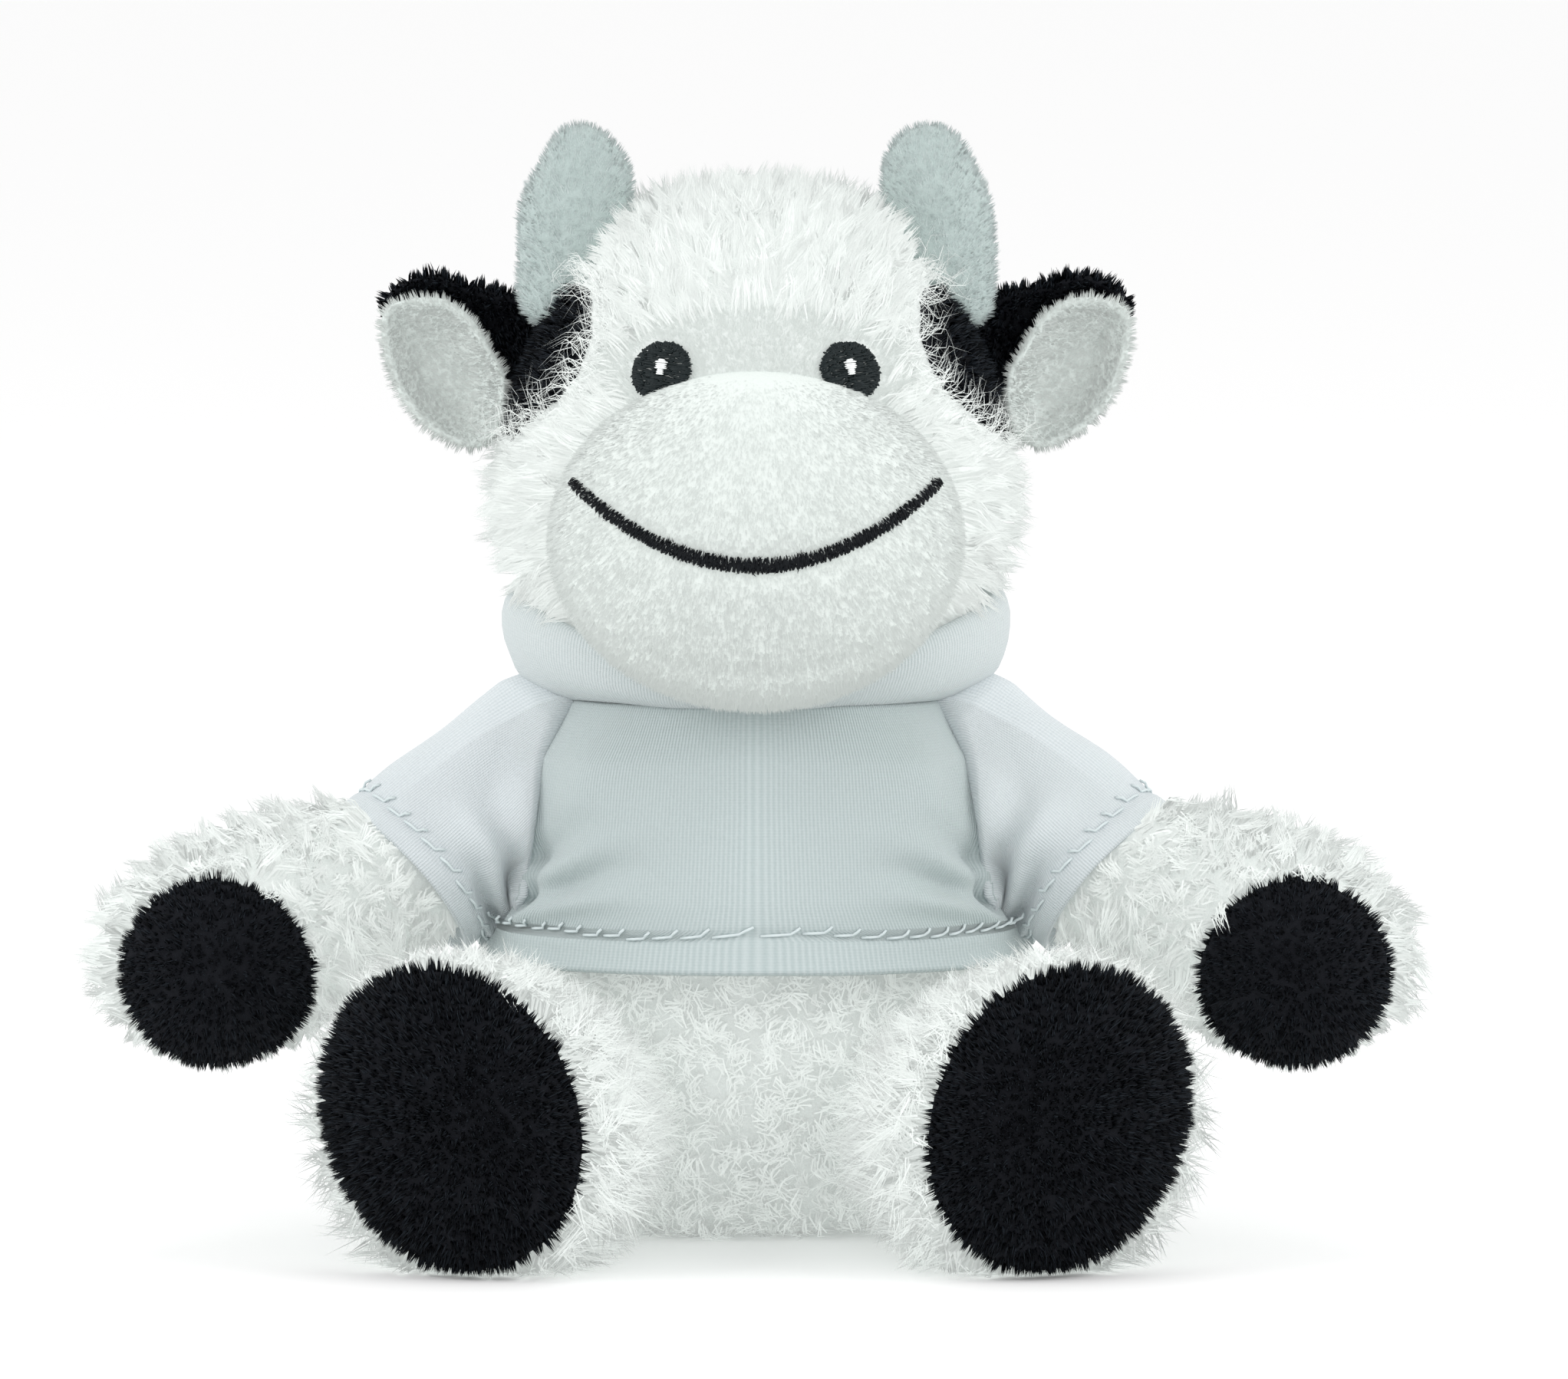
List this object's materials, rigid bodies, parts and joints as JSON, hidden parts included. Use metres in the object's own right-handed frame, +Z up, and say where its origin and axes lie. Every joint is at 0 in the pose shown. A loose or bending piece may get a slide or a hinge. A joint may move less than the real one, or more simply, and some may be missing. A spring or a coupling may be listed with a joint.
{
  "type": "plush cow",
  "caption": "Seated stuffed-toy cow in a hooded jersey top, with a head that turns and nods and limbs, ears and tail that move at their seams.",
  "frame": {"origin": "middle of the flat seat under the torso", "axes": "+Z up, the cow faces -Y, +X towards its own left hand"},
  "size_m": [0.1858, 0.1207, 0.1605],
  "materials": {
    "white_long_pile": "shaggy white pile about 5 mm long",
    "white_short_pile": "short brushed white pile",
    "grey_short_pile": "short brushed pile, pale blue grey",
    "black_short_pile": "short brushed black pile",
    "black_thread": "satin stitched thread",
    "white_thread": "stitched thread",
    "white_jersey": "fine single jersey knit",
    "fibre_stuffing": "loose polyester fibre"
  },
  "bodies": {
    "torso": {"torso_skin": "white_long_pile", "torso_stuffing": "fibre_stuffing", "hoodie_front": "white_jersey", "hoodie_back": "white_jersey", "hem_thread_front": "white_thread", "hem_thread_back": "white_thread", "hood_left": "white_jersey", "hood_right": "white_jersey"},
    "neck": {"neck_stuffing": "fibre_stuffing"},
    "head": {"head_skin": "white_long_pile", "head_stuffing": "fibre_stuffing", "muzzle": "white_short_pile", "mouth_thread": "black_thread", "eye_left": "black_thread", "eye_right": "black_thread", "eye_glint_left": "white_thread", "eye_glint_right": "white_thread", "head_patch_left": "black_short_pile", "head_patch_right": "black_short_pile", "horn_left": "grey_short_pile", "horn_right": "grey_short_pile"},
    "ear_left": {"ear_back_left": "black_short_pile", "ear_lining_left": "white_short_pile"},
    "arm_left": {"arm_skin_left": "white_long_pile", "arm_stuffing_left": "fibre_stuffing", "hand_pad_left": "black_short_pile", "sleeve_left": "white_jersey"},
    "leg_left": {"leg_skin_left": "white_long_pile", "leg_stuffing_left": "fibre_stuffing", "foot_pad_left": "black_short_pile"},
    "ear_right": {"ear_back_right": "black_short_pile", "ear_lining_right": "white_short_pile"},
    "arm_right": {"arm_skin_right": "white_long_pile", "arm_stuffing_right": "fibre_stuffing", "hand_pad_right": "black_short_pile", "sleeve_right": "white_jersey"},
    "leg_right": {"leg_skin_right": "white_long_pile", "leg_stuffing_right": "fibre_stuffing", "foot_pad_right": "black_short_pile"},
    "tail": {"tail": "white_short_pile", "tail_tuft": "black_short_pile"}
  },
  "joints": [
    {"name": "head_turn", "type": "hinge", "parent": "torso", "child": "neck", "pos_m": [0, 0, 0.082], "axis": [0, 0, 1], "range_deg": [-20, 20], "stiffness_Nm_per_rad": 0.02},
    {"name": "head_nod", "type": "hinge", "parent": "neck", "child": "head", "pos_m": [0, 0, 0.082], "axis": [-1, 0, 0], "range_deg": [0, 12]},
    {"name": "ear_left_fold", "type": "hinge", "parent": "head", "child": "ear_left", "pos_m": [0.0365, 0, 0.1258], "axis": [0, 0, 1], "range_deg": [-15, 15], "stiffness_Nm_per_rad": 0.0005},
    {"name": "ear_right_fold", "type": "hinge", "parent": "head", "child": "ear_right", "pos_m": [-0.0365, 0, 0.1258], "axis": [0, 0, 1], "range_deg": [-15, 15], "stiffness_Nm_per_rad": 0.0005},
    {"name": "arm_left_lift", "type": "hinge", "parent": "torso", "child": "arm_left", "pos_m": [0.03, -0.002, 0.063], "axis": [0, -1, 0], "range_deg": [0, 40]},
    {"name": "arm_right_lift", "type": "hinge", "parent": "torso", "child": "arm_right", "pos_m": [-0.03, -0.002, 0.063], "axis": [0, 1, 0], "range_deg": [0, 40]},
    {"name": "leg_left_lift", "type": "hinge", "parent": "torso", "child": "leg_left", "pos_m": [0.027, -0.014, 0.018], "axis": [-1, 0, 0], "range_deg": [0, 30]},
    {"name": "leg_right_lift", "type": "hinge", "parent": "torso", "child": "leg_right", "pos_m": [-0.027, -0.014, 0.018], "axis": [-1, 0, 0], "range_deg": [0, 30]},
    {"name": "tail_swing", "type": "hinge", "parent": "torso", "child": "tail", "pos_m": [0, 0.0295, 0.016], "axis": [0, 0, 1], "range_deg": [-35, 35], "stiffness_Nm_per_rad": 0.0003}
  ]
}
